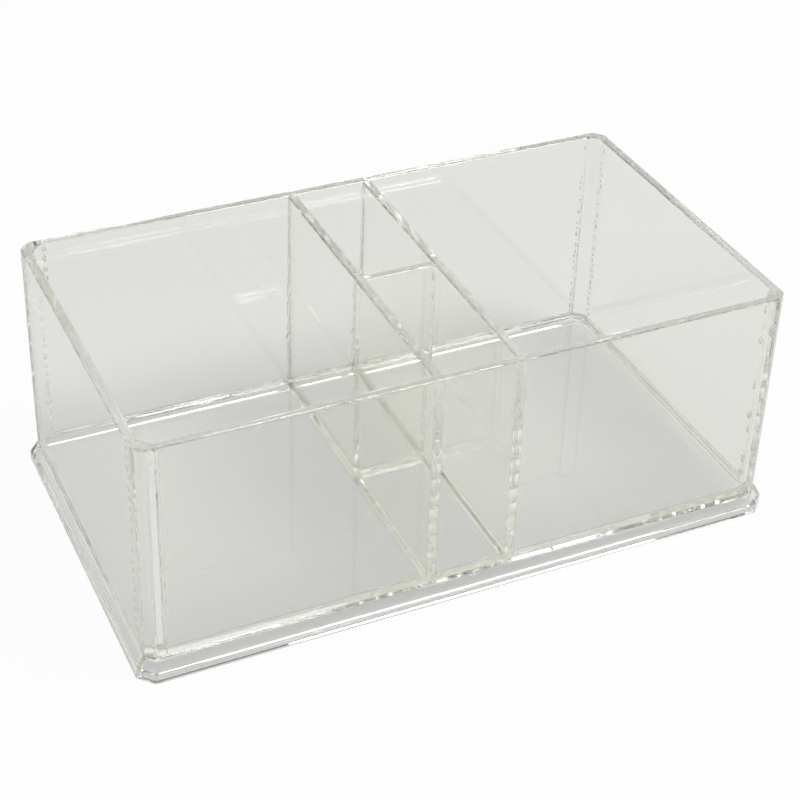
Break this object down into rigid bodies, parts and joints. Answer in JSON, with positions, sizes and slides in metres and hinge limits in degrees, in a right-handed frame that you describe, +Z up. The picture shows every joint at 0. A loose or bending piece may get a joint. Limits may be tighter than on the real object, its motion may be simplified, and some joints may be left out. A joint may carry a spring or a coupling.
{
  "type": "vanity organizer",
  "caption": "Clear acrylic open-topped vanity organizer box with fixed full-height dividers on a bevelled base, for cosmetics, brushes and bathroom small items",
  "frame": {"origin": "middle of the underside of the base tray, on the surface that the organizer stands on", "axes": "+X to the right along the long front, +Y from the front to the rear, +Z up"},
  "size_m": [0.2384, 0.1366, 0.0915],
  "materials": {
    "clear_acrylic": "polished clear acrylic, water-clear with a faint grey-green tint, polished edges",
    "clear_cement": "set clear acrylic cement, glossy and slightly wavy, with small trapped bubbles"
  },
  "bodies": {
    "root": {"base_tray": "clear_acrylic", "front_wall": "clear_acrylic", "rear_wall": "clear_acrylic", "left_wall": "clear_acrylic", "right_wall": "clear_acrylic", "front_left_post": "clear_acrylic", "front_right_post": "clear_acrylic", "rear_left_post": "clear_acrylic", "rear_right_post": "clear_acrylic", "left_divider": "clear_acrylic", "right_divider": "clear_acrylic", "cross_divider": "clear_acrylic", "left_cement_bead": "clear_cement", "right_cement_bead": "clear_cement", "front_cell_cement_bead": "clear_cement", "rear_cell_cement_bead": "clear_cement"}
  },
  "joints": []
}
